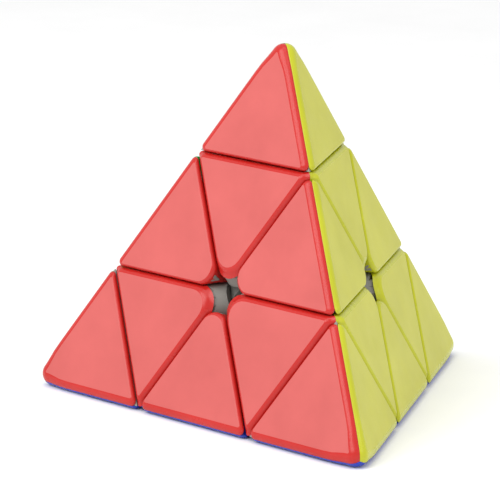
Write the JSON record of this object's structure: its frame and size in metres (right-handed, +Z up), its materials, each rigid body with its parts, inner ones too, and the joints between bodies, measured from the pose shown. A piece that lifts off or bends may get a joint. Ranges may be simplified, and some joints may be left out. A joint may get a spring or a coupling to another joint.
{
  "type": "pyramid twisty puzzle",
  "caption": "Pyramid-shaped twisty puzzle with turning layers and corner tips, coloured panels over grey bodies, and a hollow at the middle of each face.",
  "frame": {"origin": "centre of the core, where the four turning axes meet, which is also the centre of the pyramid", "axes": "+Z up through the top tip, -Y out of the red face, -Z out of the blue base that the puzzle rests on"},
  "size_m": [0.2778, 0.2413, 0.2273],
  "materials": {
    "red_plastic": "satin",
    "yellow_plastic": "satin",
    "green_plastic": "satin",
    "blue_plastic": "satin",
    "grey_plastic": "matte",
    "steel": "satin"
  },
  "bodies": {
    "core": {"core": "grey_plastic", "axis_screws": "steel", "axis_springs": "steel", "axis_washers": "steel"},
    "top_axial": {"top_axial_body": "grey_plastic", "top_axial_yellow": "yellow_plastic", "top_axial_green": "green_plastic", "top_axial_red": "red_plastic"},
    "top_tip": {"top_tip_base": "grey_plastic", "top_tip_stem": "grey_plastic", "top_tip_yellow": "yellow_plastic", "top_tip_green": "green_plastic", "top_tip_red": "red_plastic"},
    "left_axial": {"left_axial_body": "grey_plastic", "left_axial_blue": "blue_plastic", "left_axial_green": "green_plastic", "left_axial_red": "red_plastic"},
    "left_tip": {"left_tip_base": "grey_plastic", "left_tip_stem": "grey_plastic", "left_tip_blue": "blue_plastic", "left_tip_green": "green_plastic", "left_tip_red": "red_plastic"},
    "right_axial": {"right_axial_body": "grey_plastic", "right_axial_blue": "blue_plastic", "right_axial_yellow": "yellow_plastic", "right_axial_red": "red_plastic"},
    "right_tip": {"right_tip_base": "grey_plastic", "right_tip_stem": "grey_plastic", "right_tip_blue": "blue_plastic", "right_tip_yellow": "yellow_plastic", "right_tip_red": "red_plastic"},
    "rear_axial": {"rear_axial_body": "grey_plastic", "rear_axial_blue": "blue_plastic", "rear_axial_yellow": "yellow_plastic", "rear_axial_green": "green_plastic"},
    "rear_tip": {"rear_tip_base": "grey_plastic", "rear_tip_stem": "grey_plastic", "rear_tip_blue": "blue_plastic", "rear_tip_yellow": "yellow_plastic", "rear_tip_green": "green_plastic"},
    "top_left_edge": {"top_left_edge_body": "grey_plastic", "top_left_edge_green": "green_plastic", "top_left_edge_red": "red_plastic"},
    "top_right_edge": {"top_right_edge_body": "grey_plastic", "top_right_edge_yellow": "yellow_plastic", "top_right_edge_red": "red_plastic"},
    "top_rear_edge": {"top_rear_edge_body": "grey_plastic", "top_rear_edge_yellow": "yellow_plastic", "top_rear_edge_green": "green_plastic"},
    "left_right_edge": {"left_right_edge_body": "grey_plastic", "left_right_edge_blue": "blue_plastic", "left_right_edge_red": "red_plastic"},
    "right_rear_edge": {"right_rear_edge_body": "grey_plastic", "right_rear_edge_blue": "blue_plastic", "right_rear_edge_yellow": "yellow_plastic"},
    "rear_left_edge": {"rear_left_edge_body": "grey_plastic", "rear_left_edge_blue": "blue_plastic", "rear_left_edge_green": "green_plastic"}
  },
  "joints": [
    {"name": "top_layer_turn", "type": "hinge", "parent": "core", "child": "top_axial", "pos_m": [0, 0, 0], "axis": [0, 0, 1], "range_deg": [-240, 120]},
    {"name": "left_layer_turn", "type": "hinge", "parent": "core", "child": "left_axial", "pos_m": [0, 0, 0], "axis": [-0.8165, -0.4714, -0.3333], "range_deg": [-240, 120]},
    {"name": "right_layer_turn", "type": "hinge", "parent": "core", "child": "right_axial", "pos_m": [0, 0, 0], "axis": [0.8165, -0.4714, -0.3333], "range_deg": [-240, 120]},
    {"name": "rear_layer_turn", "type": "hinge", "parent": "core", "child": "rear_axial", "pos_m": [0, 0, 0], "axis": [0, 0.9428, -0.3333], "range_deg": [-240, 120]},
    {"name": "top_tip_turn", "type": "hinge", "parent": "top_axial", "child": "top_tip", "pos_m": [0, 0, 0], "axis": [0, 0, 1], "continuous": true},
    {"name": "left_tip_turn", "type": "hinge", "parent": "left_axial", "child": "left_tip", "pos_m": [0, 0, 0], "axis": [-0.8165, -0.4714, -0.3333], "continuous": true},
    {"name": "right_tip_turn", "type": "hinge", "parent": "right_axial", "child": "right_tip", "pos_m": [0, 0, 0], "axis": [0.8165, -0.4714, -0.3333], "continuous": true},
    {"name": "rear_tip_turn", "type": "hinge", "parent": "rear_axial", "child": "rear_tip", "pos_m": [0, 0, 0], "axis": [0, 0.9428, -0.3333], "continuous": true},
    {"name": "top_left_edge_turn", "type": "hinge", "parent": "top_axial", "child": "top_left_edge", "pos_m": [0, 0, 0], "axis": [-0.8165, -0.4714, -0.3333], "range_deg": [-240, 120]},
    {"name": "top_right_edge_turn", "type": "hinge", "parent": "top_axial", "child": "top_right_edge", "pos_m": [0, 0, 0], "axis": [0.8165, -0.4714, -0.3333], "range_deg": [-240, 120]},
    {"name": "top_rear_edge_turn", "type": "hinge", "parent": "top_axial", "child": "top_rear_edge", "pos_m": [0, 0, 0], "axis": [0, 0.9428, -0.3333], "range_deg": [-240, 120]},
    {"name": "left_right_edge_turn", "type": "hinge", "parent": "left_axial", "child": "left_right_edge", "pos_m": [0, 0, 0], "axis": [0.8165, -0.4714, -0.3333], "range_deg": [-240, 120]},
    {"name": "right_rear_edge_turn", "type": "hinge", "parent": "right_axial", "child": "right_rear_edge", "pos_m": [0, 0, 0], "axis": [0, 0.9428, -0.3333], "range_deg": [-240, 120]},
    {"name": "rear_left_edge_turn", "type": "hinge", "parent": "rear_axial", "child": "rear_left_edge", "pos_m": [0, 0, 0], "axis": [-0.8165, -0.4714, -0.3333], "range_deg": [-240, 120]}
  ],
  "couplings": [
    {"joint": "top_left_edge_turn", "follows": "left_layer_turn", "ratio": 1},
    {"joint": "top_right_edge_turn", "follows": "right_layer_turn", "ratio": 1},
    {"joint": "top_rear_edge_turn", "follows": "rear_layer_turn", "ratio": 1},
    {"joint": "left_right_edge_turn", "follows": "right_layer_turn", "ratio": 1},
    {"joint": "right_rear_edge_turn", "follows": "rear_layer_turn", "ratio": 1},
    {"joint": "rear_left_edge_turn", "follows": "left_layer_turn", "ratio": 1}
  ]
}
